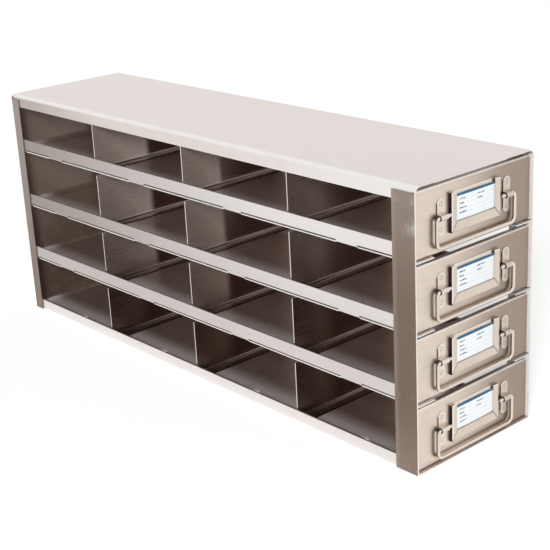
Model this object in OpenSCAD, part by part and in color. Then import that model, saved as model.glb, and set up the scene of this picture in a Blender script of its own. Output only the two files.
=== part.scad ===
// Freezer storage rack: a folded sheet steel frame, open at both long sides,
// with sliding drawers that hold square storage boxes one behind another.
// Millimetres. +Z is up, -Y is the front, where the drawers pull out.
// The origin is the centre of the base.

/* [Boxes] */
// Side of the square storage box that one cell holds
box_side = 133; // [120:0.5:140]
// Height of the storage box
box_height = 52; // [50:0.5:80]
// Cells in each drawer, one behind another
cells = 4; // [2:1:5]
// Drawers in the rack, one above another
drawers = 4; // [2:1:4]
// Free width beside a box, on each side
side_room = 0.5; // [0.3:0.1:2]
// Free length in a cell beyond the box
length_room = 4.5; // [4:0.5:10]
// Free height above a box
head_room = 4.5; // [4:0.5:10]

/* [Sheet metal] */
// Thickness of the frame's sheet
frame_sheet = 0.9; // [0.7:0.1:1.2]
// Thickness of the drawers' sheet
tray_sheet = 0.8; // [0.5:0.1:1]
// Thickness of the label holders' sheet
holder_sheet = 0.6; // [0.4:0.1:0.8]
// Thickness of the bail clips' strip
clip_sheet = 0.8; // [0.5:0.1:1]
// Outer radius of the ordinary bends
bend_r = 1.5; // [1.3:0.1:2]
// Outer radius of the top panel's side bends
top_bend_r = 4; // [2:0.5:6]

/* [Frame] */
// Width of a front post
front_post_w = 23.3; // [18:0.1:30]
// Width of the back panel's side flanges
back_flange_w = 13.5; // [10:0.5:20]
// Height of the top panel's side flanges
top_flange_h = 12; // [9:0.5:16]
// Height of the bottom panel's side flanges
bottom_flange_h = 11; // [8:0.5:14]
// Height of a runner, from the underside of its ledge
runner_h = 13.4; // [10:0.1:18]
// Width of a runner's ledge
ledge_w = 20; // [18:0.5:30]
// Height of the slots along a runner's bend
slot_h = 1.5; // [0.8:0.1:3]
// Width of the bent bridges between the slots
bridge_w = 23.5; // [12:0.5:30]
// Distance from the back of the rack to a runner's last slot
slot_rear_margin = 16; // [8:1:24]
// Distance from the front of the rack to a runner's first slot
slot_front_margin = 20; // [8:1:24]
// How far a slotted ledge's edge lies inside the runner's face
ledge_edge_inset = 0.3; // [0.1:0.1:0.6]
// Diameter of the vent holes
vent_d = 12; // [6:0.5:14]
// Distance of the vent holes from the side of the frame
vent_inset = 12; // [9:0.5:14]

/* [Drawers] */
// How far the drawer fronts stand back from the frame's front
front_recess = 3; // [2:0.5:6]
// Gap between a closed drawer and the back panel
rear_gap = 1; // [0.5:0.1:3]
// Gap under a drawer's floor
slide_gap = 0.3; // [0.1:0.1:0.6]
// Gap between a tray and the runner, on each side
side_gap = 0.4; // [0.2:0.1:1]
// Gap between a drawer front and the post, on each side
front_side_gap = 0.6; // [0.4:0.1:1]
// Gap above a drawer front
front_top_gap = 3.5; // [2:0.5:5]
// Height of a tray's side walls
tray_side_h = 9.5; // [6:0.5:12]
// Depth of the fold along the top of a drawer front
hem_depth = 4.5; // [2.5:0.1:4.5]
// Depth of a divider's foot
divider_foot = 12; // [6:0.5:20]
// How far a divider stops below the drawer's top edge
divider_drop = 0.8; // [0:0.1:5]
// Gap between a divider and each side wall
divider_gap = 0.2; // [0.1:0.1:0.4]

/* [Label holders] */
// Width of a label holder
holder_w = 58; // [40:0.5:62]
// Height of a label holder
holder_h = 31.8; // [20:0.1:34]
// Height of its lower edge above the underside of the drawer
holder_rise = 12.9; // [10:0.1:15]
// How far its lips stand out from the drawer front
holder_depth = 3; // [2.2:0.1:4]
// Width of its side lips
side_lip_w = 6.3; // [4:0.1:8]
// Width of its bottom lip
bottom_lip_w = 7.9; // [4:0.1:10]
// How far the lips slope down to the card
lip_dip = 0.5; // [0.1:0.1:0.8]
// Width of the seam between two lips
seam_w = 0.3; // [0.1:0.1:0.6]
// Thickness of a label card
card_t = 0.5; // [0.2:0.1:0.8]
// Gap round a label card
card_gap = 0.3; // [0.1:0.1:1]

/* [Bail handles] */
// Diameter of the bail's wire
wire_d = 3; // [2:0.1:3.4]
// Distance from a label holder's side to the middle line of the bail's leg
bail_room = 17; // [15.5:0.5:20]
// Distance from the hinge line to the middle of the grip bar
bail_arm = 23.8; // [18:0.1:25]
// Height of the hinge line above the underside of the drawer
pivot_rise = 28.3; // [27:0.1:30]
// Distance of the hinge line from the drawer front
pivot_standoff = 3; // [2.9:0.1:4]
// Middle radius of the bends next to the clips
pin_bend_r = 2.8; // [2:0.1:3.2]
// Middle radius of the bends at the grip bar
grip_bend_r = 5; // [3:0.5:8]
// Gap between a turned-in end of the wire and the label holder
pin_end_gap = 1; // [0.5:0.1:2]
// Running clearance of the wire in its clips, on the radius
hinge_gap = 0.06; // [0.02:0.01:0.1]
// Width of a bail clip's strip
clip_w = 8.5; // [6:0.1:8.7]
// Length of a bail clip's strip
clip_l = 28.7; // [22:0.1:30]
// Gap between a clip and the bend of the wire beside it
clip_gap = 0.15; // [0.1:0.05:0.5]

/* [Spot welds] */
// Radius of a weld mark
weld_r = 1.9; // [1:0.1:2.5]
// Depth of a weld mark
weld_depth = 0.18; // [0.05:0.01:0.3]
// Distance of the first row of marks from a front post's front edge
weld_row_1 = 6.2; // [6:0.1:8]
// Distance of the second row of marks from a front post's front edge
weld_row_2 = 19.8; // [15:0.1:20]

/* [Hidden] */
$fn = 48;
// Overshoot of a cutting solid past the face it opens
past = 1;
// Gap that a cut edge keeps from a bend or wall beside it
edge_gap = 0.5;

// Cell, tray and runner fit side by side across the rack
cell_w = box_side + 2 * side_room;
tray_w = cell_w + 2 * tray_sheet;
runner_span = tray_w + 2 * side_gap;
flange_x = runner_span / 2 + frame_sheet;
rack_w = 2 * (flange_x + frame_sheet);
post_span = rack_w - 2 * frame_sheet;
front_w = post_span - 2 * front_side_gap;

// Box, floor, ledge and gaps stack up in one level
pitch = slide_gap + tray_sheet + box_height + head_room + frame_sheet;
rack_h = drawers * pitch + frame_sheet;
tray_h = pitch - frame_sheet - front_top_gap - slide_gap;

// Cells and dividers line up along a tray
cell_l = box_side + length_room;
tray_l = cells * cell_l + (cells + 1) * tray_sheet;
rack_l = front_recess + tray_l + rear_gap + frame_sheet;

// The rolled clips reach furthest forward, past the frame's front
wire_r = wire_d / 2;
bore_r = wire_r + hinge_gap;
knuckle_r = bore_r + clip_sheet;
front_overhang = max(0, pivot_standoff + knuckle_r - front_recess);
front_y = (front_overhang - rack_l) / 2;
rear_y = front_y + rack_l;
back_inner_y = rear_y - frame_sheet;
face_y = front_y + front_recess;
tray_rear_y = face_y + tray_l;

// Flanges start behind the drawer fronts, which are wider than the trays
flange_start = front_recess + tray_sheet + edge_gap;
// Trough walls stop short of the bends at a tray's ends
corner_relief = 2 * bend_r;
// Length of floor that a bent-up end wall keeps
end_floor = 3 * bend_r;
// The posts and the back panel's flanges end below the top panel's bends
post_top = rack_h - top_bend_r - edge_gap;
vent_x = rack_w / 2 - vent_inset;

// The bail spans the label holder, and its clips stand between the two
bail_leg_x = holder_w / 2 + bail_room;
pin_l = bail_room - pin_end_gap - wire_r;
clip_x = bail_leg_x - pin_bend_r - clip_gap - clip_w / 2;
// Radius of the ball whose cap leaves a weld mark
weld_ball_r = (weld_r * weld_r + weld_depth * weld_depth) / (2 * weld_depth);
bail_turn = 90;

steel = [0.86, 0.83, 0.8];
shaded_steel = [0.72, 0.67, 0.62];
drawer_steel = [0.76, 0.7, 0.64];
wire_steel = [0.88, 0.86, 0.84];
card_white = [0.95, 0.97, 0.98];

// Drawer 1 is the top one. Height of the surface that drawer k slides on
function ledge_top(k) = frame_sheet + (drawers - k) * pitch;
// Underside of drawer k's tray
function tray_z(k) = ledge_top(k) + slide_gap;
// Front face of divider j, counted from the front. Divider 0 is the drawer's front wall
function divider_y(j) = face_y + j * (cell_l + tray_sheet);
// Middle of cell i, counted from the front
function cell_y(i) = divider_y(i) - cell_l / 2;

// Heights at which the side flanges are welded to the posts
weld_heights = concat(
    [bottom_flange_h / 2, rack_h - (top_flange_h + top_bend_r) / 2 - frame_sheet / 2],
    [for (k = [1:drawers - 1]) ledge_top(k) + (runner_h - frame_sheet + slot_h) / 2]
);

// ---- Ways to draw a sheet's profile and sweep it ----

// Sweeps an X-Z outline along Y
module along_y(y0, y1) {
    translate([0, y1, 0]) rotate([90, 0, 0]) linear_extrude(y1 - y0) children();
}

// Sweeps a Y-Z outline along X
module along_x(x0, x1) {
    translate([x0, 0, 0]) rotate([90, 0, 90]) linear_extrude(x1 - x0) children();
}

// Sweeps an X-Y outline along Z
module along_z(z0, z1) {
    translate([0, 0, z0]) linear_extrude(z1 - z0) children();
}

// Sheet bent once: its outer corner would be at the origin, its legs run along +X and +Y
module angle_profile(leg_x, leg_y, sheet, bend) {
    translate([bend, 0]) square([leg_x - bend, sheet]);
    translate([0, bend]) square([sheet, leg_y - bend]);
    intersection() {
        square(bend);
        translate([bend, bend]) difference() {
            circle(bend);
            circle(bend - sheet);
        }
    }
}

// Channel that opens upwards, centred on X = 0
module channel_profile(width, flange, sheet, bend) {
    for (side = [0, 1]) mirror([side, 0]) {
        translate([-width / 2, 0]) angle_profile(width / 2, flange, sheet, bend);
    }
}

// Shallow cap that a spot weld leaves in a face whose outward side is +Z
module weld_mark() {
    translate([0, 0, weld_ball_r - weld_depth]) sphere(weld_ball_r, $fn = 96);
}

// Weld mark in a side face of the frame, at the given side, Y and Z
module side_weld_mark(side, y, z) {
    translate([side * rack_w / 2, y, z]) rotate([0, side * 90, 0]) weld_mark();
}

// Holes up through the base and the lowest drawer, at the middle of every cell on both sides
module vent_holes() {
    for (i = [1:cells], side = [-1, 1]) {
        translate([side * vent_x, cell_y(i), -past]) cylinder(d = vent_d, h = tray_side_h);
    }
}

// ---- Frame ----

// Removes the side flanges next to the drawer fronts, above z0 and below z1
module flange_notch(z0, z1) {
    translate([-rack_w / 2, front_y - past, z0]) cube([rack_w, past + flange_start, z1 - z0]);
}

module top_panel() {
    color(steel) difference() {
        along_y(front_y, back_inner_y) translate([0, rack_h]) mirror([0, 1]) {
            channel_profile(post_span, top_flange_h, frame_sheet, top_bend_r);
        }
        flange_notch(rack_h - top_flange_h - past, rack_h - top_bend_r);
    }
}

module bottom_panel() {
    color(steel) difference() {
        along_y(front_y, back_inner_y) channel_profile(post_span, bottom_flange_h, frame_sheet, bend_r);
        flange_notch(bend_r, bottom_flange_h + past);
        vent_holes();
    }
}

module back_panel() {
    corner_r = top_bend_r + frame_sheet;
    color(shaded_steel) difference() {
        along_z(0, rack_h) translate([0, rear_y]) mirror([0, 1]) {
            channel_profile(rack_w, back_flange_w, frame_sheet, bend_r);
        }
        translate([-rack_w, rear_y - back_flange_w - past, post_top]) {
            cube([2 * rack_w, back_flange_w + past - bend_r, rack_h]);
        }
        // The upper corners follow those bends
        along_y(rear_y - back_flange_w - past, rear_y + past) for (side = [0, 1]) mirror([side, 0]) {
            translate([rack_w / 2 - corner_r, rack_h - corner_r]) difference() {
                square(corner_r + past);
                circle(corner_r);
            }
        }
        for (side = [-1, 1], z = weld_heights) side_weld_mark(side, rear_y - back_flange_w / 2, z);
    }
}

// Flat strip on the outside of the flanges, at side -1 (left) or 1 (right)
module front_post(side) {
    color(shaded_steel) difference() {
        translate([side * (rack_w - frame_sheet) / 2 - frame_sheet / 2, front_y, 0]) {
            cube([frame_sheet, front_post_w, post_top]);
        }
        for (row = [weld_row_1, weld_row_2], z = weld_heights) side_weld_mark(side, front_y + row, z);
    }
}

module left_front_post() {
    front_post(-1);
}

module right_front_post() {
    front_post(1);
}

// Angle with its ledge turned inwards. Long slots weaken its bend line, so that it folds
// on short bridges at the middle of each cell. Drawn for the left side, at height zero.
module runner_shape() {
    slot_starts = concat([front_y + slot_front_margin], [for (i = [1:cells]) cell_y(i) + bridge_w / 2]);
    slot_stops = concat([for (i = [1:cells]) cell_y(i) - bridge_w / 2], [rear_y - slot_rear_margin]);
    difference() {
        along_y(front_y, back_inner_y) translate([-flange_x, 0]) {
            angle_profile(ledge_w, runner_h, frame_sheet, bend_r);
        }
        for (i = [0:cells]) translate([-flange_x - past, slot_starts[i], -past]) {
            cube([past + bend_r, slot_stops[i] - slot_starts[i], past + frame_sheet + slot_h]);
        }
        translate([-flange_x - past, front_y - past, bend_r]) {
            cube([past + 2 * bend_r, past + flange_start, runner_h]);
        }
    }
    // Between the bridges the ledge runs on flat to the runner's face
    for (i = [0:cells]) translate([-flange_x + ledge_edge_inset, slot_starts[i], 0]) {
        cube([ledge_w / 2, slot_stops[i] - slot_starts[i], frame_sheet]);
    }
}

// Runner that carries drawer k
module runner(side, k) {
    color(steel) mirror([side > 0 ? 1 : 0, 0, 0]) {
        translate([0, 0, ledge_top(k) - frame_sheet]) runner_shape();
    }
}

// ---- Drawers ----

// Front wall with its bottom bend and its folded top edge
module front_wall_profile() {
    angle_profile(end_floor, tray_h / 2, tray_sheet, bend_r);
    translate([0, tray_h]) mirror([0, 1]) angle_profile(hem_depth, tray_h / 2, tray_sheet, bend_r);
}

// Tray with low side walls, bent from one sheet
module tray_shape() {
    along_y(face_y + corner_relief, tray_rear_y - corner_relief) {
        channel_profile(tray_w, tray_side_h, tray_sheet, bend_r);
    }
    along_x(-tray_w / 2, tray_w / 2) translate([face_y, 0]) front_wall_profile();
    along_x(-front_w / 2, front_w / 2) translate([face_y, bend_r]) {
        square([tray_sheet, tray_h - 2 * bend_r]);
    }
    along_x(-tray_w / 2, tray_w / 2) translate([tray_rear_y, 0]) mirror([1, 0]) {
        angle_profile(end_floor, tray_h, tray_sheet, bend_r);
    }
}

module tray(k) {
    color(drawer_steel) difference() {
        translate([0, 0, tray_z(k)]) tray_shape();
        if (k == drawers) vent_holes();
    }
}

// Upright plate whose foot lies on the tray's floor
module divider(k, j) {
    half_w = cell_w / 2 - divider_gap;
    height = tray_h - tray_sheet - divider_drop;
    color(drawer_steel) along_x(-half_w, half_w) {
        translate([divider_y(j) + tray_sheet, tray_z(k) + tray_sheet]) mirror([1, 0]) {
            angle_profile(divider_foot, height, tray_sheet, bend_r);
        }
    }
}

// ---- Label holders ----

// Section across one lip: X runs inwards from the holder's edge, Y away from the drawer front
module lip_profile(lip_w) {
    fold_r = 2 * holder_sheet;
    square([holder_sheet, holder_depth - fold_r]);
    intersection() {
        translate([0, holder_depth - fold_r]) square(fold_r);
        translate([fold_r, holder_depth - fold_r]) difference() {
            circle(fold_r);
            circle(fold_r - holder_sheet);
        }
    }
    polygon([
        [fold_r, holder_depth],
        [lip_w, holder_depth - lip_dip],
        [lip_w, holder_depth - lip_dip - holder_sheet],
        [fold_r, holder_depth - holder_sheet]
    ]);
}

// Area in front view that a side lip covers, down to its seam
module side_lip_area() {
    polygon([
        [-holder_w / 2, 0],
        [-holder_w / 2 + side_lip_w, bottom_lip_w],
        [-holder_w / 2 + side_lip_w, holder_h],
        [-holder_w / 2, holder_h]
    ]);
}

// Area in front view that the bottom lip covers, between its seams
module bottom_lip_area() {
    polygon([
        [-holder_w / 2, 0],
        [holder_w / 2, 0],
        [holder_w / 2 - side_lip_w, bottom_lip_w],
        [-holder_w / 2 + side_lip_w, bottom_lip_w]
    ]);
}

// Plate with three edges folded forward over the card, and the top left open
module label_holder(k) {
    seam_angle = atan2(bottom_lip_w, side_lip_w);
    seam_l = norm([bottom_lip_w, side_lip_w]);
    color(drawer_steel) translate([0, face_y, tray_z(k) + holder_rise]) difference() {
        union() {
            translate([-holder_w / 2, -holder_sheet, 0]) cube([holder_w, holder_sheet, holder_h]);
            for (side = [0, 1]) mirror([side, 0, 0]) intersection() {
                along_z(0, holder_h) translate([-holder_w / 2, 0]) mirror([0, 1]) lip_profile(side_lip_w);
                along_y(-holder_depth, 0) side_lip_area();
            }
            intersection() {
                along_x(-holder_w / 2, holder_w / 2) rotate(90) lip_profile(bottom_lip_w);
                along_y(-holder_depth, 0) bottom_lip_area();
            }
        }
        for (side = [0, 1]) mirror([side, 0, 0]) {
            translate([-holder_w / 2, -holder_depth - past, 0]) rotate([0, -seam_angle, 0]) {
                translate([-past, 0, -seam_w / 2]) {
                    cube([seam_l + past, past + holder_depth - holder_sheet, seam_w]);
                }
            }
        }
    }
}

// Card that lies on the holder's plate, behind the lips
module label_card(k) {
    side = holder_w / 2 - holder_sheet - card_gap;
    low = tray_z(k) + holder_rise + holder_sheet + card_gap;
    color(card_white) translate([-side, face_y - holder_sheet - card_t, low]) {
        cube([2 * side, card_t, holder_h - holder_sheet - 2 * card_gap]);
    }
}

// ---- Bail handles ----

// Strip with round ends, rolled into a knuckle round the wire
module bail_clip(side, k) {
    end_z = clip_l / 2 - clip_w / 2;
    color(wire_steel) translate([side * clip_x, face_y, tray_z(k) + pivot_rise]) difference() {
        union() {
            along_y(-clip_sheet, 0) {
                translate([-clip_w / 2, -end_z]) square([clip_w, 2 * end_z]);
                for (z = [-end_z, end_z]) translate([0, z]) circle(d = clip_w);
            }
            along_x(-clip_w / 2, clip_w / 2) {
                translate([-pivot_standoff, 0]) circle(knuckle_r);
                translate([-pivot_standoff, -knuckle_r]) square([pivot_standoff, 2 * knuckle_r]);
            }
        }
        along_x(-clip_w / 2 - past, clip_w / 2 + past) translate([-pivot_standoff, 0]) circle(bore_r);
        for (z = [-end_z, end_z]) translate([0, -clip_sheet, z]) rotate([90, 0, 0]) weld_mark();
    }
}

// Quarter bend of the wire in the X-Z plane, centred on the origin, from +X round to +Z
module wire_bend(radius) {
    rotate([90, 0, 0]) rotate_extrude(angle = bail_turn) translate([radius, 0]) circle(wire_r);
}

// One half of the bail: turned-in end, leg and half of the grip bar
module bail_half() {
    bar_z = -bail_arm;
    translate([bail_leg_x - pin_l, 0, 0]) {
        rotate([0, 90, 0]) cylinder(r = wire_r, h = pin_l - pin_bend_r);
        sphere(wire_r);
    }
    translate([bail_leg_x - pin_bend_r, 0, -pin_bend_r]) wire_bend(pin_bend_r);
    translate([bail_leg_x, 0, bar_z + grip_bend_r]) {
        cylinder(r = wire_r, h = bail_arm - grip_bend_r - pin_bend_r);
    }
    translate([bail_leg_x - grip_bend_r, 0, bar_z + grip_bend_r]) mirror([0, 0, 1]) wire_bend(grip_bend_r);
    translate([0, 0, bar_z]) rotate([0, 90, 0]) cylinder(r = wire_r, h = bail_leg_x - grip_bend_r);
}

// Wire handle that hangs from its two clips
module bail(k) {
    color(wire_steel) translate([0, face_y - pivot_standoff, tray_z(k) + pivot_rise]) {
        for (side = [0, 1]) mirror([side, 0, 0]) bail_half();
    }
}

// ---- Nodes ----

top_panel();
bottom_panel();
back_panel();
left_front_post();
right_front_post();
for (k = [1:drawers - 1]) {
    runner(-1, k);
    runner(1, k);
}
for (k = [1:drawers]) {
    tray(k);
    for (j = [1:cells - 1]) {
        divider(k, j);
    }
    label_holder(k);
    label_card(k);
    bail_clip(-1, k);
    bail_clip(1, k);
    bail(k);
}
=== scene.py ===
import math

import bmesh
import bpy
from bpy.props import FloatProperty, FloatVectorProperty, PointerProperty
from mathutils import Matrix, Vector


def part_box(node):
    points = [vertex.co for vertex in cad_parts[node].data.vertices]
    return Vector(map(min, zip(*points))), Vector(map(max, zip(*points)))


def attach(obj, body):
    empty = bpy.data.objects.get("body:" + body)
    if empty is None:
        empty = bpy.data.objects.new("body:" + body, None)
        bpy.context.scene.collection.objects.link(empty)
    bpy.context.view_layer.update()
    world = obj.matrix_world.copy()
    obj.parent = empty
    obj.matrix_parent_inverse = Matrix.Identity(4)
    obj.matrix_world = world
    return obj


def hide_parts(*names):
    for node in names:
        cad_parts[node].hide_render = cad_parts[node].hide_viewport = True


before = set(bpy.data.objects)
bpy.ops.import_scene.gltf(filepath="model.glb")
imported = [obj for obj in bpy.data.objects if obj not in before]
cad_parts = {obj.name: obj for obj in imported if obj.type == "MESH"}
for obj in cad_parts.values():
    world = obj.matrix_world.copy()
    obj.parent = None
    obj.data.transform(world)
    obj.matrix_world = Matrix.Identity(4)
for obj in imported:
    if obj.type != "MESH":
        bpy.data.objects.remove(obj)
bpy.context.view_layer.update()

bl_info = {
    "name": "Freezer storage rack",
    "version": (1, 0, 0),
    "blender": (4, 5, 0),
    "location": "View3D > Sidebar > Rack",
    "description": "Finishes the sheet steel rack, its drawers, labels and bails",
    "category": "Object",
}

MM = 0.001
DRAWERS = (1, 2, 3, 4)
SIDES = ("left", "right")

# Places on the rack that the finishes need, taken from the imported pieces, in metres.
RACK_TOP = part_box("top_panel")[1].z
POST_LOW, POST_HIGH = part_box("left_front_post")
TRAY_LOW, TRAY_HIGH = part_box("drawer_1_tray")
RAIL_LOW, RAIL_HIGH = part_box("left_runner_1")
LEVEL = TRAY_LOW.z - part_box("drawer_2_tray")[0].z
HALF_WIDTH = -POST_LOW.x
FOOT = -LEVEL / 2  # height of a level's foot, when heights are taken from its middle

# The camera: its place in metres, its turns in degrees, and its sensor and focal length in
# millimetres. The length is 1267.5 pixels on a render 550 pixels wide.
CAMERA_PLACE = (-0.7238, -0.8731, 0.4919)
CAMERA_YAW, CAMERA_PITCH, CAMERA_ROLL = 40.97, -19.91, -3.04
SENSOR = 36
FOCAL_LENGTH = 1267.5 * SENSOR / 550

# Where the lamps hang and what they are aimed at, in metres.
KEY_PLACE = (-1.4, -1.3, 0.92)
FRONT_PLACE = (0.5, -1.7, 0.8)
FRONT_SIZE = 0.7
AIM = (0, -0.1, 0.1)


def linear(red, green, blue):
    """A colour written as 0 to 255 on a screen, as Blender's linear values."""
    parts = []
    for part in (red, green, blue):
        level = part / 255
        parts.append(level / 12.92 if level <= 0.04045 else ((level + 0.055) / 1.055) ** 2.4)
    return tuple(parts)


# ---------------------------------------------------------------- sizes and colours


def colour_property(name, description, default):
    return FloatVectorProperty(
        name=name,
        description=description,
        subtype="COLOR",
        size=3,
        min=0,
        max=1,
        default=default,
    )


class RackFinish(bpy.types.PropertyGroup):
    """Colours of the sheet, the wire and the labels."""

    panel_colour: colour_property(
        "Panels", "Top, back and bottom sheet of the frame", linear(224, 215, 211)
    )
    rail_colour: colour_property(
        "Rails", "Long rails and runners on both sides", linear(232, 227, 225)
    )
    # Painted shade: the posts are the rails' steel, darkened to the tone of the dim room that
    # they mirror.
    shaded_post_tone: colour_property(
        "Posts", "Front posts, brushed upright", linear(126, 108, 97)
    )
    front_colour: colour_property(
        "Drawer fronts", "Brushed front walls of the drawers", linear(224, 210, 197)
    )
    # Painted shade: the right part of the drawer fronts and of the clips is darkened.
    front_shade: colour_property(
        "Dulled fronts", "Right part of the drawers' front walls", linear(160, 143, 130)
    )
    # Painted shade: rails, flanges and the rear posts darkened toward the rear, and the lower
    # rails a little.
    rail_shade: colour_property(
        "Dulled rails", "Rails, flange and posts toward the rear", linear(146, 134, 126)
    )
    post_end_colour: colour_property(
        "Post ends", "Paler upper and lower ends of the posts", linear(176, 162, 153)
    )
    # Painted shade: dividers and drawer walls take a darker copy of the steel, for the dark
    # inside of the rack.
    interior_shade: colour_property(
        "Dividers", "Dividers and drawer walls near the open sides", linear(150, 130, 118)
    )
    # Painted reflection: pale zones on the dividers and the drawers' rear walls.
    interior_reflection: colour_property(
        "Pale zones", "Pale zones of the dividers and rear walls", linear(212, 199, 190)
    )
    # Painted sheen: drawer floors paler near the open sides.
    floor_sheen: colour_property(
        "Floor edges", "Drawer floors near the open sides", linear(222, 216, 216)
    )
    # Painted shade, darker still, deep in the rack.
    deep_interior_shade: colour_property(
        "Deep insides", "Dividers and drawer walls deep in the rack", linear(92, 70, 60)
    )
    # Painted shade on the drawer floors inside the rack.
    deep_floor_shade: colour_property(
        "Deep floors", "Drawer floors deep in the rack", linear(134, 114, 104)
    )
    # Painted shade on narrow side walls, along the dividers' feet and on the bails' rear sides;
    # also the dark of the holders' mitre seams.
    seam_and_shade: colour_property(
        "Seams", "Grime in seams, on narrow side walls and on the bails", linear(62, 46, 39)
    )
    # Painted highlight: the pale colour laid on cut edges, bends, folds, the hem, the ledges and
    # the posts' inner faces; the bottom flange and the posts' smudges take it too.
    edge_highlight: colour_property(
        "Cut edges", "Bare cut edges and rubbed bends of the sheet", linear(240, 237, 234)
    )
    tint_colour: colour_property(
        "Weld tint", "Sheet discoloured by the heat of spot welds", linear(140, 120, 100)
    )
    holder_colour: colour_property(
        "Label holders", "Folded holders on the drawer fronts", linear(216, 203, 190)
    )
    clip_colour: colour_property(
        "Clips", "Rolled clips of the bails", linear(230, 217, 205)
    )
    wire_colour: colour_property("Bails", "Bent wire of the bails", linear(226, 213, 201))
    card_colour: colour_property("Cards", "Paper of the label cards", linear(236, 240, 243))
    strip_colour: colour_property(
        "Card strip", "Printed strip along the top of a card", linear(38, 96, 134)
    )
    ink_colour: colour_property("Card dashes", "Dashes printed on a card", linear(66, 74, 88))
    rule_colour: colour_property("Card rules", "Thin rules on a card", linear(196, 205, 213))


class RackSurface(bpy.types.PropertyGroup):
    """How rough the metal is, and how deep its brushing marks are."""

    sheet_roughness: FloatProperty(
        name="Sheet roughness",
        description="Roughness of the panels, runners, label holders and clips",
        default=0.34,
        min=0.05,
        max=1,
        subtype="FACTOR",
    )
    front_roughness: FloatProperty(
        name="Front roughness",
        description="Roughness of the brushed drawer trays and front posts",
        default=0.38,
        min=0.05,
        max=1,
        subtype="FACTOR",
    )
    inside_roughness: FloatProperty(
        name="Inside roughness",
        description="Roughness of the dividers",
        default=0.26,
        min=0.05,
        max=1,
        subtype="FACTOR",
    )
    wire_roughness: FloatProperty(
        name="Wire roughness",
        description="Roughness of the drawn wire",
        default=0.22,
        min=0.05,
        max=1,
        subtype="FACTOR",
    )
    grain_depth: FloatProperty(
        name="Grain depth",
        description="Height of the brushing marks",
        default=0.02 * MM,
        min=0,
        max=0.2 * MM,
        subtype="DISTANCE",
        unit="LENGTH",
    )


class RackCards(bpy.types.PropertyGroup):
    """Sizes of the label cards."""

    drop: FloatProperty(
        name="Drop",
        description="Distance from the top of the holder's pocket to the card's top edge",
        default=2.8 * MM,
        min=0.5 * MM,
        max=8 * MM,
        subtype="DISTANCE",
        unit="LENGTH",
    )
    corner: FloatProperty(
        name="Corner",
        description="Radius of the card's corners",
        default=1.5 * MM,
        min=0.2 * MM,
        max=4 * MM,
        subtype="DISTANCE",
        unit="LENGTH",
    )
    bow: FloatProperty(
        name="Bow",
        description="How far the card's middle stands forward",
        default=0.3 * MM,
        min=0,
        max=0.6 * MM,
        subtype="DISTANCE",
        unit="LENGTH",
    )
    strip: FloatProperty(
        name="Strip",
        description="Height of the printed strip",
        default=1.5 * MM,
        min=0,
        max=6 * MM,
        subtype="DISTANCE",
        unit="LENGTH",
    )


class RackStage(bpy.types.PropertyGroup):
    """Floor, light and camera."""

    floor_colour: colour_property("Floor", "Colour of the floor", (0.96, 0.955, 0.95))
    floor_reach: FloatProperty(
        name="Floor reach",
        description="Distance from the rack to the floor's edge",
        default=12,
        min=1,
        subtype="DISTANCE",
        unit="LENGTH",
    )
    floor_lift: FloatProperty(
        name="Floor lift",
        description="Paleness added to the floor where it is seen or mirrored",
        default=0.36,
        min=0,
        max=1,
        subtype="FACTOR",
    )
    room_light: FloatProperty(
        name="Room light",
        description="Strength of the even light from all round",
        default=0.24,
        min=0,
        max=2,
        subtype="FACTOR",
    )
    key_strength: FloatProperty(
        name="Key light",
        description="Strength of the broad light from the front left",
        default=3.4,
        min=0,
    )
    key_spread: FloatProperty(
        name="Key spread",
        description="Width of the broad light, as an angle",
        default=math.radians(20),
        min=0,
        subtype="ANGLE",
        unit="ROTATION",
    )
    front_power: FloatProperty(
        name="Front lamp",
        description="Power of the lamp in front of the drawers",
        default=1.2,
        min=0,
        subtype="POWER",
        unit="POWER",
    )
    lens: FloatProperty(
        name="Lens",
        description="Focal length on a sensor 36 mm wide",
        default=FOCAL_LENGTH,
        min=20,
        subtype="DISTANCE_CAMERA",
        unit="CAMERA",
    )


# ---------------------------------------------------------------- building materials


def connect(tree, socket, value):
    """Links a Value to a socket, or sets the socket to a plain number or colour."""
    if isinstance(value, Value):
        tree.links.new(value.socket, socket)
        return
    if socket.type == "RGBA" and len(value) == 3:
        value = (*value, 1)
    socket.default_value = value


class Value:
    """An output socket; arithmetic on it adds Math nodes."""

    def __init__(self, tree, socket):
        self.tree = tree
        self.socket = socket

    def math(self, operation, *operands):
        node = self.tree.nodes.new("ShaderNodeMath")
        node.operation = operation
        for socket, operand in zip(node.inputs, operands):
            connect(self.tree, socket, operand)
        return Value(self.tree, node.outputs[0])

    def __add__(self, other):
        return self.math("ADD", self, other)

    def __radd__(self, other):
        return self.math("ADD", other, self)

    def __sub__(self, other):
        return self.math("SUBTRACT", self, other)

    def __rsub__(self, other):
        return self.math("SUBTRACT", other, self)

    def __mul__(self, other):
        return self.math("MULTIPLY", self, other)

    def __rmul__(self, other):
        return self.math("MULTIPLY", other, self)

    def __abs__(self):
        return self.math("ABSOLUTE", self)

    def wrap(self, period):
        """The value within one period, from minus half of it to plus half."""
        return self.math("WRAP", self, period / 2, -period / 2)

    def larger(self, other):
        return self.math("MAXIMUM", self, other)


class Network:
    """A node tree that starts empty."""

    def __init__(self, owner):
        owner.use_nodes = True
        self.tree = owner.node_tree
        self.tree.nodes.clear()

    def node(self, kind, settings=None, sockets=None, output=0):
        """Adds a node: its settings first, then its sockets. Returns one output."""
        made = self.tree.nodes.new(kind)
        for setting, value in (settings or {}).items():
            setattr(made, setting, value)
        for socket, value in (sockets or {}).items():
            connect(self.tree, made.inputs[socket], value)
        return Value(self.tree, made.outputs[output]) if made.outputs else made

    def looked_at(self):
        """1 for rays that the camera sees, also mirrored or through glass, and 0 for light."""
        seen = self.node("ShaderNodeLightPath", output="Is Camera Ray")
        mirrored = self.node("ShaderNodeLightPath", output="Is Glossy Ray")
        through = self.node("ShaderNodeLightPath", output="Is Transmission Ray")
        return seen.larger(mirrored).larger(through)


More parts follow.
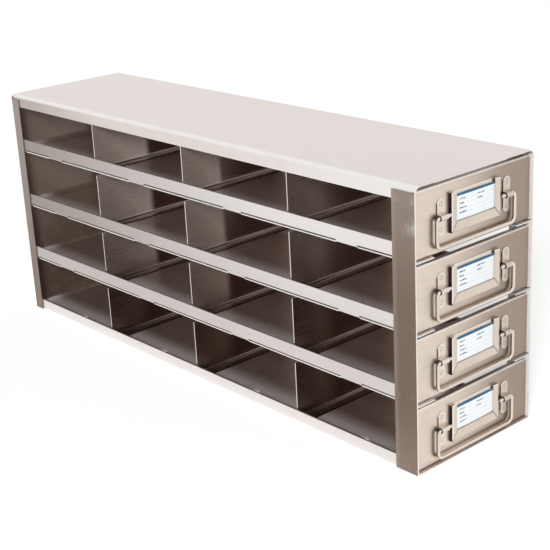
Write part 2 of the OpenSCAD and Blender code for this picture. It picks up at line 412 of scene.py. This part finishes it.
class Finish(Network):
    """One material, built node by node on the piece's own coordinates."""

    def __init__(self, name):
        self.material = bpy.data.materials.new(name)
        super().__init__(self.material)
        self.place = self.node("ShaderNodeTexCoord", output="Object")
        self.x = self.node("ShaderNodeSeparateXYZ", sockets={0: self.place}, output=0)
        self.y = self.node("ShaderNodeSeparateXYZ", sockets={0: self.place}, output=1)
        self.z = self.node("ShaderNodeSeparateXYZ", sockets={0: self.place}, output=2)

    def blend(self, mask, below, above):
        """One colour over another, by a mask from 0 to 1."""
        factor, first, second, result = 0, 6, 7, 2
        sockets = {factor: mask, first: below, second: above}
        return self.node("ShaderNodeMix", {"data_type": "RGBA"}, sockets, result)

    def rise(self, value, start, end):
        """0 before start and 1 after end, with a soft change between them."""
        return self.node(
            "ShaderNodeMapRange",
            {"interpolation_type": "SMOOTHSTEP"},
            {"Value": value, "From Min": start, "From Max": end},
        )

    def band(self, value, low, high, soft):
        """1 between low and high, and 0 outside them."""
        return self.rise(value, low - soft, low) * (1 - self.rise(value, high, high + soft))

    def length(self, first, second):
        """Length of the vector that has these two parts."""
        square = first * first + second * second
        return square.math("SQRT", square)

    def noise(self, frequency, detail=2.0, roughness=0.5, shift=(0, 0, 0)):
        """Soft noise with its own number of waves per metre along each axis."""
        placed = self.node(
            "ShaderNodeMapping",
            sockets={"Vector": self.place, "Location": shift, "Scale": frequency},
        )
        sockets = {"Vector": placed, "Scale": 1.0, "Detail": detail, "Roughness": roughness}
        return self.node("ShaderNodeTexNoise", sockets=sockets)

    def grain(self, direction, fine=1100.0, length=9.0, shift=(0, 0, 0)):
        """Brushing marks: noise drawn out along one axis."""
        frequency = [fine, fine, fine]
        frequency["XYZ".index(direction)] = length
        return self.noise(frequency, detail=3.0, roughness=0.65, shift=shift)

    def shell(self, name, colour, roughness, bump, distance, metallic):
        """The surface shader, fed by what was built, and the material's output."""
        normal = self.node(
            "ShaderNodeBump",
            sockets={"Height": bump, "Distance": distance, "Strength": 1.0},
        )
        sockets = {
            "Base Color": colour,
            "Roughness": roughness,
            "Normal": normal,
            "Metallic": metallic,
        }
        surface = self.node("ShaderNodeBsdfPrincipled", {"name": name}, sockets)
        self.node("ShaderNodeOutputMaterial", sockets={"Surface": surface})
        return self.material


def finish_settings():
    """The colours and the surface sizes that a user can change."""
    scene = bpy.context.scene
    return scene.rack_finish, scene.rack_surface


def darkened(colour, share):
    """The colour at a share of its lightness, from 0 to 1."""
    return tuple(part * share for part in colour)


def sheet(
    name,
    colour,
    direction,
    roughness,
    layers=(),
    *,
    mottle=0.12,
    stains=0.1,
    dull=None,
    relief=1.0,
):
    """Sheet steel: fine brushing marks, cloudy patches and the layers that a piece adds.

    A layer is a mask and the colour that it lays over what is below it. Mottle is how far the
    patches depart from the colour, and stains how strongly the dark ones show. Dull is a mask
    of where the sheet has lost its shine, and relief scales the height of the marks.
    """
    surface = bpy.context.scene.rack_surface
    steel = Finish(name)
    marks = steel.grain(direction)
    coarse = steel.grain(direction, fine=240.0, length=4.0, shift=(3, 5, 7))
    clouds = steel.noise((9, 9, 9), detail=4.0, roughness=0.6)
    spots = steel.noise((80, 80, 80), detail=3.0, roughness=0.55, shift=(1, 2, 3))
    dark = darkened(colour, 1 - mottle)
    palest = 0.96
    light = tuple(min(part * (1 + mottle), palest) for part in colour)
    grain = marks * 0.6 + coarse * 0.4 - 0.5
    tone = clouds * 0.6 + spots * 0.4 + grain * 0.6
    body = steel.blend(steel.rise(tone, 0.25, 0.75), dark, light)
    for mask, layer_colour in layers:
        body = steel.blend(mask(steel), body, layer_colour)
    stain = darkened(colour, 0.5)
    body = steel.blend(steel.rise(grain, 0.02, 0.2) * 0.12, body, stain)
    stained = steel.rise(spots * 0.6 + clouds * 0.4, 0.44, 0.66) * stains
    body = steel.blend(stained, body, stain)
    rough = roughness + (marks - 0.5) * 0.14 + (clouds - 0.5) * 0.1
    height = marks + coarse * 0.4
    metallic = 1 - dull(steel) if dull else 1.0
    return steel.shell(name, body, rough, height, surface.grain_depth * relief, metallic)


def give(pieces, material):
    """Puts a material on the whole of each piece."""
    for piece in pieces:
        piece.data.materials.clear()
        piece.data.materials.append(material)
        for face in piece.data.polygons:
            face.material_index = 0


def nodes(*names):
    return [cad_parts[name] for name in names]


def in_each_drawer(name):
    """The pieces of this name in all the drawers."""
    return nodes(*(f"drawer_{number}_{name}" for number in DRAWERS))


# ---------------------------------------------------------------- frame


class RACK_OT_panels(bpy.types.Operator):
    """Finish the top, bottom and back panels"""

    bl_idname = "rack.panels"
    bl_label = "Panels"

    def execute(self, context):
        finish, surface = finish_settings()
        colour = finish.panel_colour
        roughness = surface.sheet_roughness
        bright = finish.edge_highlight
        rear_shade = finish.rail_shade

        def flange(steel):
            """The outer faces of the flanges, at the rack's sides."""
            return steel.rise(abs(steel.x), HALF_WIDTH - 1.3 * MM, HALF_WIDTH - 1.1 * MM)

        # Painted highlight along the bend at the top of each side.
        def bend_highlight(steel):
            across = abs(steel.x)
            bend = steel.band(across, HALF_WIDTH - 4.4 * MM, HALF_WIDTH - 1.4 * MM, 0.6 * MM)
            return bend * steel.rise(steel.z, RACK_TOP - 4 * MM, RACK_TOP - 2 * MM) * 0.9

        # Painted highlight on the flanges toward the front.
        def front_flange_highlight(steel):
            toward_front = 1 - steel.rise(steel.y, -0.26, 0.02)
            return flange(steel) * toward_front * 0.8

        def rear_flange_shade(steel):
            # Painted shade on the flanges toward the rear.
            toward_rear = steel.rise(steel.y, 0.06, 0.3)
            return flange(steel) * toward_rear * 0.6

        top_layers = ((rear_flange_shade, rear_shade), (front_flange_highlight, bright), (bend_highlight, bright))
        top = sheet("panel steel, top", colour, "Y", roughness, top_layers, mottle=0.05)
        give(nodes("top_panel"), top)

        def paler_flange(steel):
            return flange(steel) * 0.5

        base_layers = ((paler_flange, bright),)
        base = sheet("panel steel, bottom", colour, "Y", roughness, base_layers, mottle=0.08)
        give(nodes("bottom_panel"), base)

        # Painted shade on the back panel's flanges, which stand as the rear posts.
        def rear_posts(steel):
            return flange(steel) * 0.9

        # Painted shade, deeper toward the foot, in the posts' shaded tone.
        def darker_foot(steel):
            toward_foot = 1 - steel.rise(steel.z, 0.01, 0.2)
            return rear_posts(steel) * toward_foot * 0.85

        back_layers = ((rear_posts, rear_shade), (darker_foot, finish.shaded_post_tone))
        back = sheet("panel steel, back", colour, "Z", roughness, back_layers)
        give(nodes("back_panel"), back)
        return {"FINISHED"}


class RACK_OT_posts(bpy.types.Operator):
    """Finish the front posts, with their brushed grain and weld tints"""

    bl_idname = "rack.posts"
    bl_label = "Front posts"

    def execute(self, context):
        finish, surface = finish_settings()
        middle = (POST_LOW.y + POST_HIGH.y) / 2
        weld_row = (POST_HIGH.y - POST_LOW.y) * 0.3
        rail_middle = (RAIL_LOW.z + RAIL_HIGH.z) / 2

        def heat(steel):
            up = abs((steel.z - rail_middle).wrap(LEVEL))
            across = abs(abs(steel.y - middle) - weld_row)
            away = steel.length(up, across)
            return (1 - steel.rise(away, 1.2 * MM, 3.4 * MM)) * 0.45

        # Painted highlight on the front cut edge.
        def cut_edge(steel):
            return 1 - steel.rise(steel.y, POST_LOW.y + 0.15 * MM, POST_LOW.y + 0.5 * MM)

        # Painted highlight: the inner faces are made pale, and less metallic through
        # matt_inner_face.
        def inner_face(steel):
            return 1 - steel.rise(abs(steel.x), HALF_WIDTH - 0.85 * MM, HALF_WIDTH - 0.7 * MM)

        def paler_ends(steel):
            darkest = 0.1
            return steel.rise(abs(steel.z - darkest), 0.03, 0.14) * 0.5

        def smudge(steel):
            patch = steel.noise((60, 60, 40), detail=4.0, roughness=0.65, shift=(4, 4, 4))
            high = steel.band(steel.z, POST_HIGH.z - 28 * MM, POST_HIGH.z - 8 * MM, 8 * MM)
            return steel.rise(patch, 0.45, 0.7) * high * 0.35

        def pale_strip(steel):
            return steel.rise(steel.y, POST_HIGH.y - 6 * MM, POST_HIGH.y - 1 * MM) * 0.3

        def matt_inner_face(steel):
            return inner_face(steel) * 0.7

        bright = finish.edge_highlight
        pale = finish.post_end_colour
        layers = (
            (paler_ends, pale),
            (pale_strip, pale),
            (smudge, bright),
            (heat, finish.tint_colour),
            (inner_face, bright),
            (cut_edge, bright),
        )
        colour, roughness = finish.shaded_post_tone, surface.front_roughness
        steel = sheet("post steel", colour, "Z", roughness, layers, dull=matt_inner_face)
        give(nodes("left_front_post", "right_front_post"), steel)
        return {"FINISHED"}


class RACK_OT_runners(bpy.types.Operator):
    """Finish the runners on both sides"""

    bl_idname = "rack.runners"
    bl_label = "Runners"

    def execute(self, context):
        finish, surface = finish_settings()

        # Painted shade toward the rear, stronger on the upper rails and in patches.
        def rear_shade(steel):
            patch = steel.noise((6, 5, 12), detail=3.0, roughness=0.6, shift=(2, 9, 4))
            toward_rear = steel.rise(steel.y, -0.2, 0.3)
            upper = steel.rise(steel.z, 0.075, 0.11)
            return toward_rear * (0.3 + upper * 0.45 + patch * 0.3)

        # The lower rails, a little darker in the painted shade colour.
        def lower_rails(steel):
            return (1 - steel.rise(steel.z, 0.085, 0.17)) * 0.22

        # Painted highlight on the ledge's cut edge at each level.
        def ledge(steel):
            half_sheet = 0.45 * MM
            up = (steel.z - (RAIL_LOW.z + half_sheet)).wrap(LEVEL)
            return 1 - steel.rise(abs(up), 0.5 * MM, 0.8 * MM)

        layers = (
            (lower_rails, finish.rail_shade),
            (rear_shade, finish.rail_shade),
            (ledge, finish.edge_highlight),
        )
        colour, roughness = finish.rail_colour, surface.sheet_roughness
        steel = sheet("runner steel", colour, "Y", roughness, layers, mottle=0.07)
        for level in DRAWERS[:-1]:
            give(nodes(*(f"{side}_runner_{level}" for side in SIDES)), steel)
        return {"FINISHED"}


# ---------------------------------------------------------------- drawers


class RACK_OT_trays(bpy.types.Operator):
    """Finish the drawer trays: brushed outside, with painted shade, sheen and reflections inside
    """

    bl_idname = "rack.trays"
    bl_label = "Drawer trays"

    def execute(self, context):
        finish, surface = finish_settings()

        def on_hem(steel):
            up = (steel.z - TRAY_HIGH.z).wrap(LEVEL)
            over_front = 1 - steel.rise(steel.y, TRAY_LOW.y + 5 * MM, TRAY_LOW.y + 6 * MM)
            return steel.band(up, -1.4 * MM, 2 * MM, 0.5 * MM) * over_front

        # Inside the tray, behind its front wall and off the hem; laid in the floors' painted
        # shade.
        def inside(steel):
            behind = steel.rise(steel.y, TRAY_LOW.y + 0.5 * MM, TRAY_LOW.y + 0.7 * MM)
            return behind * (1 - on_hem(steel))

        # The inside walls, laid in painted shade.
        def on_walls(steel):
            up = (steel.z - TRAY_LOW.z - LEVEL / 2).wrap(LEVEL)
            return inside(steel) * steel.rise(up, 3 * MM + FOOT, 6 * MM + FOOT)

        def far_side(steel):
            return steel.rise(steel.x, 12 * MM, 22 * MM)

        # Painted reflection on the walls toward the left.
        def wall_reflection(steel):
            across = 0.15 + steel.rise(steel.x, -66 * MM, 10 * MM) * 0.45
            upper = steel.rise(steel.z, 45 * MM, 200 * MM)
            return on_walls(steel) * (1 - far_side(steel)) * across * upper

        # Painted shade low down and toward the far side.
        def deep_wall(steel):
            low_down = (1 - steel.rise(steel.z, 40 * MM, 140 * MM)) * 0.6
            return on_walls(steel) * low_down.larger(far_side(steel) * 0.45)

        # Painted sheen on the floors near the open sides; the same mask makes them less metallic.
        def near_openings(steel):
            across = steel.rise(abs(steel.x), 26 * MM, 62 * MM)
            return inside(steel) * across * (1 - on_walls(steel))

        def matt_floor(steel):
            return inside(steel) * 0.3 + near_openings(steel) * 0.42

        # Painted highlight on the hem at the top of each front.
        def hem_highlight(steel):
            return on_hem(steel) * 0.6

        # Painted shade on the right part of each front, with a ragged boundary.
        def right_side_shade(steel):
            patch = steel.noise((9, 9, 30), detail=3.0, roughness=0.6, shift=(8, 1, 2))
            return steel.rise(steel.x + (patch - 0.5) * 0.06, -0.05, 0.055) * (1 - inside(steel))

        layers = (
            (right_side_shade, finish.front_shade),
            (inside, finish.deep_floor_shade),
            (near_openings, finish.floor_sheen),
            (on_walls, finish.interior_shade),
            (wall_reflection, finish.interior_reflection),
            (deep_wall, finish.deep_interior_shade),
            (hem_highlight, finish.edge_highlight),
        )
        colour, roughness = finish.front_colour, surface.front_roughness
        steel = sheet("tray steel", colour, "X", roughness, layers, dull=matt_floor, stains=0.28)
        give(in_each_drawer("tray"), steel)
        return {"FINISHED"}


class RACK_OT_dividers(bpy.types.Operator):
    """Finish the dividers, with painted shade in the middle, painted reflections toward the left
    and painted highlights on their cut edges
    """

    bl_idname = "rack.dividers"
    bl_label = "Dividers"

    def execute(self, context):
        finish, surface = finish_settings()
        low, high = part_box("drawer_1_divider_1")
        middle = (low.z + high.z) / 2
        bottom, top = low.z - middle, high.z - middle
        cell_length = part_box("drawer_1_divider_2")[0].y - low.y

        def height(steel):
            """Height over the middle of the level's dividers."""
            return (steel.z - middle).wrap(LEVEL)

        # Painted shade in the middle of each divider, a little off centre.
        def deep(steel):
            return 1 - steel.rise(abs(steel.x - 12 * MM), 26 * MM, 52 * MM)

        def reflection_zones(steel):
            """The painted reflection on each row of dividers, toward the left side."""
            rear = steel.rise(steel.y, 60 * MM, 90 * MM)
            rear = rear * (1 - steel.rise(steel.x, -8 * MM, 1 * MM))
            central = steel.rise(steel.y, -60 * MM, -40 * MM)
            central = central * (1 - steel.rise(steel.x, -27 * MM, -18 * MM))
            front = 1 - steel.rise(steel.x, -40 * MM, 10 * MM)
            front = front * steel.rise(steel.z, 100 * MM, 160 * MM)
            zones = rear.larger(central * 0.9).larger(front * 0.4)
            upper = steel.rise(steel.z, 45 * MM, 80 * MM)
            across = 0.55 + steel.rise(steel.x, -66 * MM, 5 * MM) * 0.45
            return zones * upper * across * (1 - foot(steel))

        def matt_zones(steel):
            return reflection_zones(steel) * steel.rise(steel.z, 20 * MM, 230 * MM) * 0.6

        # The foot of each divider, laid in the floors' painted shade.
        def foot(steel):
            return 1 - steel.rise(height(steel), bottom + 1.2 * MM, bottom + 2 * MM)

        # Painted highlight on the fold above the foot.
        def fold(steel):
            return steel.band(height(steel), bottom + 1.6 * MM, bottom + 2.4 * MM, 0.3 * MM) * 0.6

        # Painted shade: a dark line on the foot within about a millimetre of the divider's plane.
        def foot_border(steel):
            along = (steel.y - low.y).wrap(cell_length)
            return foot(steel) * (1 - steel.rise(abs(along), 0.9 * MM, 1.3 * MM))

        # Painted highlight on the cut edges at the sides and the top.
        def cut_edge(steel):
            sides = steel.rise(abs(steel.x), high.x - 0.15 * MM, high.x - 0.05 * MM)
            upper_edge = steel.rise(height(steel), top - 0.15 * MM, top - 0.05 * MM)
            return sides.larger(upper_edge)

        layers = (
            (deep, finish.deep_interior_shade),
            (reflection_zones, finish.interior_reflection),
            (foot, finish.deep_floor_shade),
            (fold, finish.edge_highlight),
            (foot_border, finish.seam_and_shade),
            (cut_edge, finish.edge_highlight),
        )
        steel = sheet(
            "divider steel",
            finish.interior_shade,
            "X",
            surface.inside_roughness,
            layers,
            mottle=0.1,
            dull=matt_zones,
            relief=0.3,
        )
        for place in (1, 2, 3):
            give(in_each_drawer(f"divider_{place}"), steel)
        return {"FINISHED"}


class RACK_OT_label_holders(bpy.types.Operator):
    """Finish the label holders"""

    bl_idname = "rack.label_holders"
    bl_label = "Label holders"

    def execute(self, context):
        finish, surface = finish_settings()
        low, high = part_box("drawer_1_label_holder")
        middle = (low.z + high.z) / 2
        bottom, top = low.z - middle, high.z - middle
        side_lip, bottom_lip = 6.3 * MM, 7.9 * MM

        def height(steel):
            """Height over the middle of the level's holder."""
            return (steel.z - middle).wrap(LEVEL)

        # Painted shadow on the narrow outer walls.
        def side_wall(steel):
            return steel.rise(abs(steel.x), high.x - 0.35 * MM, high.x - 0.25 * MM)

        # Painted highlight on the folds at the sides and the top.
        def fold(steel):
            sides = steel.band(abs(steel.x), high.x - 1.3 * MM, high.x - 0.5 * MM, 0.2 * MM)
            upper_edge = steel.rise(height(steel), top - 1.1 * MM, top - 0.6 * MM)
            return sides.larger(upper_edge) * 0.9

        def mitre(steel):
            slope = side_lip / bottom_lip
            away = (height(steel) - bottom) * slope + (abs(steel.x) - high.x)
            seam = steel.band(away, -0.25 * MM, 0.25 * MM, 0.15 * MM)
            past_lip = steel.rise(
                height(steel), bottom + bottom_lip, bottom + bottom_lip + 0.4 * MM
            )
            return seam * (1 - past_lip) * 0.9

        layers = (
            (fold, finish.edge_highlight),
            (side_wall, finish.seam_and_shade),
            (mitre, finish.seam_and_shade),
        )
        colour, roughness = finish.holder_colour, surface.sheet_roughness
        steel = sheet("holder steel", colour, "X", roughness, layers, mottle=0.1)
        give(in_each_drawer("label_holder"), steel)
        return {"FINISHED"}


class RACK_OT_label_cards(bpy.types.Operator):
    """Cut the label cards and print a strip, dashes and thin rules on them"""

    bl_idname = "rack.label_cards"
    bl_label = "Label cards"

    # Dashes in two columns: the start and length of each, row by row, in millimetres.
    COLUMNS = (
        ((-18.2, 6.4), (-18.2, 5.4), (-18.2, 8.0), (-18.2, 8.5)),
        ((2.7, 8.8), (2.7, 5.6)),
    )
    # Rows of the print: how many, how far the first is below the strip, and their pitch.
    ROWS = 4
    FIRST_ROW = 2.9 * MM
    ROW_PITCH = 3.6 * MM

    def execute(self, context):
        sizes = context.scene.rack_cards
        finish = context.scene.rack_finish
        first = self.cut(sizes)
        cards = [first] + [self.copy(first) for number in DRAWERS[1:]]
        top_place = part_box("drawer_1_label_card")[0].z
        for number, card in zip(DRAWERS, cards):
            card.name = f"drawer_{number}_card_sheet"
            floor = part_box(f"drawer_{number}_label_card")[0].z
            card.data.transform(Matrix.Translation((0, 0, floor - top_place)))
            give([card], self.paper(finish, sizes, number))
            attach(card, f"drawer_{number}")
            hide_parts(f"drawer_{number}_label_card")
        return {"FINISHED"}

    def cut(self, sizes):
        """Models the top drawer's card, bowed a little forward in its pocket."""
        low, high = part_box("drawer_1_label_card")
        high = high - Vector((0, 0, sizes.drop))
        thickness = high.y - low.y
        bpy.ops.object.select_all(action="DESELECT")
        bpy.ops.mesh.primitive_cube_add(size=1, location=(low + high) / 2, scale=high - low)
        card = bpy.context.active_object
        bpy.ops.object.transform_apply(location=True, rotation=True, scale=True)
        bpy.ops.object.mode_set(mode="EDIT")

        def runs_through(start, end):
            return abs(start.y - end.y) > thickness - 0.001 * MM

        self.choose(card, "EDGE", runs_through)
        bpy.ops.mesh.bevel(offset=sizes.corner, offset_type="OFFSET", segments=5, affect="EDGES")
        cut_spacing = 7 * MM
        for step in range(-3, 4):
            bpy.ops.mesh.select_all(action="SELECT")
            bpy.ops.mesh.bisect(plane_co=(step * cut_spacing, 0, 0), plane_no=(1, 0, 0))
        reaches = (22 * MM, 15 * MM, 8 * MM)
        for reach in reaches:
            self.choose(card, "VERT", lambda place, reach=reach: abs(place.x) < reach)
            bpy.ops.transform.translate(value=(0, -sizes.bow / len(reaches), 0))
        bpy.ops.object.mode_set(mode="OBJECT")
        bpy.ops.object.shade_smooth_by_angle(angle=math.radians(30))
        return card

    def choose(self, card, kind, wanted):
        """Selects the vertices or edges whose places are wanted, in edit mode."""
        bpy.ops.mesh.select_mode(type=kind)
        bpy.ops.mesh.select_all(action="DESELECT")
        mesh = bmesh.from_edit_mesh(card.data)
        for part in mesh.verts if kind == "VERT" else mesh.edges:
            ends = [part] if kind == "VERT" else part.verts
            part.select_set(wanted(*(end.co for end in ends)))
        mesh.select_flush_mode()
        bmesh.update_edit_mesh(card.data)

    def copy(self, first):
        """Another card with a mesh of its own."""
        card = first.copy()
        card.data = first.data.copy()
        bpy.context.scene.collection.objects.link(card)
        return card

    def paper(self, finish, sizes, number):
        """White paper, printed on the front face of one drawer's card."""
        low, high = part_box(f"drawer_{number}_label_card")
        strip_foot = high.z - low.z - sizes.drop - sizes.strip
        paper = Finish(f"card paper, drawer {number}")
        up = paper.z - low.z
        face = 1 - paper.rise(paper.y, high.y - 0.25 * MM, high.y - 0.1 * MM)
        fibres = paper.noise((900, 900, 900), detail=4.0, roughness=0.6)
        smudge = paper.noise((60, 60, 60), detail=3.0, roughness=0.5)
        clean = paper.rise(fibres * 0.4 + smudge * 0.6, 0.3, 0.7)
        worn = darkened(finish.card_colour, 0.93)
        colour = paper.blend(clean, worn, finish.card_colour)
        rules, dashes = self.rows(paper, up, strip_foot)
        colour = paper.blend(rules * face * 0.8, colour, finish.rule_colour)
        colour = paper.blend(dashes * face, colour, finish.ink_colour)
        strip = paper.rise(up, strip_foot - 0.1 * MM, strip_foot)
        colour = paper.blend(strip * face, colour, finish.strip_colour)
        # Painted shadow: a dark line on the card just above the bottom lip.
        lip_shadow_line = paper.band(up, 6.2 * MM, 7.2 * MM, 0.15 * MM)
        colour = paper.blend(lip_shadow_line * face * 0.85, colour, finish.ink_colour)
        rough = 0.62 + (fibres - 0.5) * 0.2
        return paper.shell("card paper", colour, rough, fibres, 0.01 * MM, metallic=0.0)

    def rows(self, paper, up, strip_foot):
        """Masks of the thin rules and of the broken dashes, row by row below the strip."""
        rules = 0.0
        dashes = 0.0
        for row in range(self.ROWS):
            line = strip_foot - self.FIRST_ROW - self.ROW_PITCH * row
            rules = paper.band(up, line - 0.9 * MM, line - 0.7 * MM, 0.1 * MM) + rules
            for column in self.COLUMNS:
                if row < len(column):
                    start, length = column[row]
                    along = paper.band(paper.x, start * MM, (start + length) * MM, 0.15 * MM)
                    dash = paper.band(up, line - 0.35 * MM, line + 0.45 * MM, 0.12 * MM)
                    dashes = dash * along + dashes
        within = paper.band(paper.x, -21 * MM, 21 * MM, 0.1 * MM)
        breaks = paper.rise(paper.noise((1500, 10, 900), detail=1.0), 0.36, 0.46)
        return rules * within, dashes * breaks


class RACK_OT_clips(bpy.types.Operator):
    """Finish the bail clips"""

    bl_idname = "rack.clips"
    bl_label = "Bail clips"

    def execute(self, context):
        finish, surface = finish_settings()
        low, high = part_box("drawer_1_right_clip")
        middle = (low + high) / 2
        end_radius = (high.x - low.x) / 2
        weld_rise = (high.z - low.z) / 2 - end_radius

        def past_weld(steel):
            """Height over the upper weld, or depth under the lower one."""
            return abs((steel.z - middle.z).wrap(LEVEL)) - weld_rise

        # Painted highlight on the rim of each plate end.
        def rim_highlight(steel):
            away = steel.length(abs(steel.x) - middle.x, past_weld(steel).larger(0.0))
            return steel.rise(away, end_radius - 0.9 * MM, end_radius - 0.3 * MM) * 0.7

        def weld_ring(steel):
            away = steel.length(abs(steel.x) - middle.x, past_weld(steel))
            return steel.band(away, 1.3 * MM, 1.8 * MM, 0.3 * MM) * 0.45

        # Painted shade on the clips, growing toward the right.
        def right_side_shade(steel):
            return steel.rise(steel.x, -20 * MM, 50 * MM) * 0.4

        # Painted shade on the narrow side walls and the open ends of the rolls.
        def side_wall(steel):
            across = abs(steel.x)
            outer = steel.rise(across, high.x - 0.16 * MM, high.x - 0.08 * MM)
            inner = 1 - steel.rise(across, low.x + 0.08 * MM, low.x + 0.16 * MM)
            return outer.larger(inner) * 0.85

        layers = (
            (right_side_shade, finish.front_shade),
            (weld_ring, finish.tint_colour),
            (rim_highlight, finish.edge_highlight),
            (side_wall, finish.seam_and_shade),
        )
        steel = sheet("clip steel", finish.clip_colour, "Z", surface.sheet_roughness, layers)
        for side in SIDES:
            give(in_each_drawer(f"{side}_clip"), steel)
        return {"FINISHED"}


class RACK_OT_bails(bpy.types.Operator):
    """Finish the wire bails"""

    bl_idname = "rack.bails"
    bl_label = "Wire bails"

    def execute(self, context):
        finish, surface = finish_settings()
        low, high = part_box("drawer_1_bail")
        middle = (low.y + high.y) / 2

        # Painted shade on the wire's rear side, strongest on the legs.
        def bail_leg_shade(steel):
            legs = steel.rise(abs(steel.x), high.x - 5 * MM, high.x - 4 * MM)
            start = middle + 0.4 * MM - legs * (1.1 * MM)
            return steel.rise(steel.y - start, 0.0, 0.5 * MM) * (0.4 + legs * 0.5)

        layers = ((bail_leg_shade, finish.seam_and_shade),)
        colour, roughness = finish.wire_colour, surface.wire_roughness
        steel = sheet("bail wire", colour, "X", roughness, layers, mottle=0.1)
        give(in_each_drawer("bail"), steel)
        return {"FINISHED"}


# ---------------------------------------------------------------- stage


class RACK_OT_stage(bpy.types.Operator):
    """Set up the floor, the light and the camera"""

    bl_idname = "rack.stage"
    bl_label = "Stage"

    def execute(self, context):
        stage = context.scene.rack_stage
        self.lay_floor(stage)
        self.light_room(context, stage)
        self.hang_lamps(stage)
        self.place_camera(context, stage)
        return {"FINISHED"}

    def lay_floor(self, stage):
        """A wide pale board that keeps the shadow, and is clear from below."""
        bpy.ops.object.select_all(action="DESELECT")
        bpy.ops.mesh.primitive_grid_add(
            x_subdivisions=8, y_subdivisions=8, size=2 * stage.floor_reach, location=(0, 0, 0)
        )
        floor = bpy.context.active_object
        floor.name = "floor"
        board = Finish("floor paper")
        below = board.node("ShaderNodeNewGeometry", output="Backfacing")
        mottle = board.noise((3, 3, 3), detail=2.0)
        shaded = darkened(stage.floor_colour, 0.985)
        colour = board.blend(mottle, shaded, stage.floor_colour)
        matt = board.node("ShaderNodeBsdfDiffuse", sockets={"Color": colour})
        glow_sockets = {"Color": (1, 1, 1), "Strength": stage.floor_lift}
        glow = board.node("ShaderNodeEmission", sockets=glow_sockets)
        pale = board.node("ShaderNodeAddShader", sockets={0: matt, 1: glow})
        sockets = {0: board.looked_at(), 1: matt, 2: pale}
        top = board.node("ShaderNodeMixShader", sockets=sockets)
        clear = board.node("ShaderNodeBsdfTransparent")
        both = board.node("ShaderNodeMixShader", sockets={0: below, 1: top, 2: clear})
        board.node("ShaderNodeOutputMaterial", sockets={"Surface": both})
        give([floor], board.material)

    def light_room(self, context, stage):
        """Even light from all round, which is white where it is seen or mirrored."""
        world = bpy.data.worlds.new("studio")
        context.scene.world = world
        room = Network(world)
        strength = room.looked_at() * (1 - stage.room_light) + stage.room_light
        sockets = {"Color": (1, 1, 1), "Strength": strength}
        light = room.node("ShaderNodeBackground", sockets=sockets)
        room.node("ShaderNodeOutputWorld", sockets={"Surface": light})

    def hang_lamps(self, stage):
        key = bpy.data.lights.new("key light", "SUN")
        key.energy = stage.key_strength
        key.angle = stage.key_spread
        self.hang(key, KEY_PLACE).visible_glossy = False
        front = bpy.data.lights.new("front lamp", "AREA")
        front.energy = stage.front_power
        front.shape = "DISK"
        front.size = FRONT_SIZE
        self.hang(front, FRONT_PLACE)

    def hang(self, lamp, place):
        """Hangs a lamp at a place, aimed at the front half of the rack."""
        holder = bpy.data.objects.new(lamp.name, lamp)
        bpy.context.scene.collection.objects.link(holder)
        aim = Vector(AIM) - Vector(place)
        turned = aim.to_track_quat("-Z", "Y").to_matrix().to_4x4()
        holder.matrix_world = Matrix.Translation(place) @ turned
        return holder

    def place_camera(self, context, stage):
        yaw, pitch, roll = map(math.radians, (CAMERA_YAW, CAMERA_PITCH, CAMERA_ROLL))
        ahead = math.cos(pitch)
        forward = Vector((ahead * math.sin(yaw), ahead * math.cos(yaw), math.sin(pitch)))
        level_right = Vector((math.cos(yaw), -math.sin(yaw), 0))
        level_up = level_right.cross(forward)
        right = level_right * math.cos(roll) + level_up * math.sin(roll)
        up = level_up * math.cos(roll) - level_right * math.sin(roll)
        lens = bpy.data.cameras.new("camera")
        lens.sensor_width = SENSOR
        lens.lens = stage.lens
        camera = bpy.data.objects.new("camera", lens)
        context.scene.collection.objects.link(camera)
        turned = Matrix((right, up, -forward)).transposed().to_4x4()
        camera.matrix_world = Matrix.Translation(CAMERA_PLACE) @ turned
        context.scene.camera = camera
        context.scene.view_settings.view_transform = "Standard"


OPERATORS = (
    RACK_OT_panels,
    RACK_OT_posts,
    RACK_OT_runners,
    RACK_OT_trays,
    RACK_OT_dividers,
    RACK_OT_label_holders,
    RACK_OT_label_cards,
    RACK_OT_clips,
    RACK_OT_bails,
    RACK_OT_stage,
)


class RACK_PT_sidebar(bpy.types.Panel):
    """Lists the rack's pieces"""

    bl_label = "Freezer storage rack"
    bl_idname = "RACK_PT_sidebar"
    bl_space_type = "VIEW_3D"
    bl_region_type = "UI"
    bl_category = "Rack"

    def draw(self, context):
        for operator in OPERATORS:
            self.layout.operator(operator.bl_idname)


GROUPS = (RackFinish, RackSurface, RackCards, RackStage)


def register():
    for kind in (*GROUPS, *OPERATORS, RACK_PT_sidebar):
        bpy.utils.register_class(kind)
    bpy.types.Scene.rack_finish = PointerProperty(type=RackFinish)
    bpy.types.Scene.rack_surface = PointerProperty(type=RackSurface)
    bpy.types.Scene.rack_cards = PointerProperty(type=RackCards)
    bpy.types.Scene.rack_stage = PointerProperty(type=RackStage)


def unregister():
    del bpy.types.Scene.rack_stage
    del bpy.types.Scene.rack_cards
    del bpy.types.Scene.rack_surface
    del bpy.types.Scene.rack_finish
    for kind in reversed((*GROUPS, *OPERATORS, RACK_PT_sidebar)):
        bpy.utils.unregister_class(kind)


def main():
    register()
    for operator in OPERATORS:
        group, name = operator.bl_idname.split(".")
        getattr(getattr(bpy.ops, group), name)()


if __name__ == "__main__":
    main()
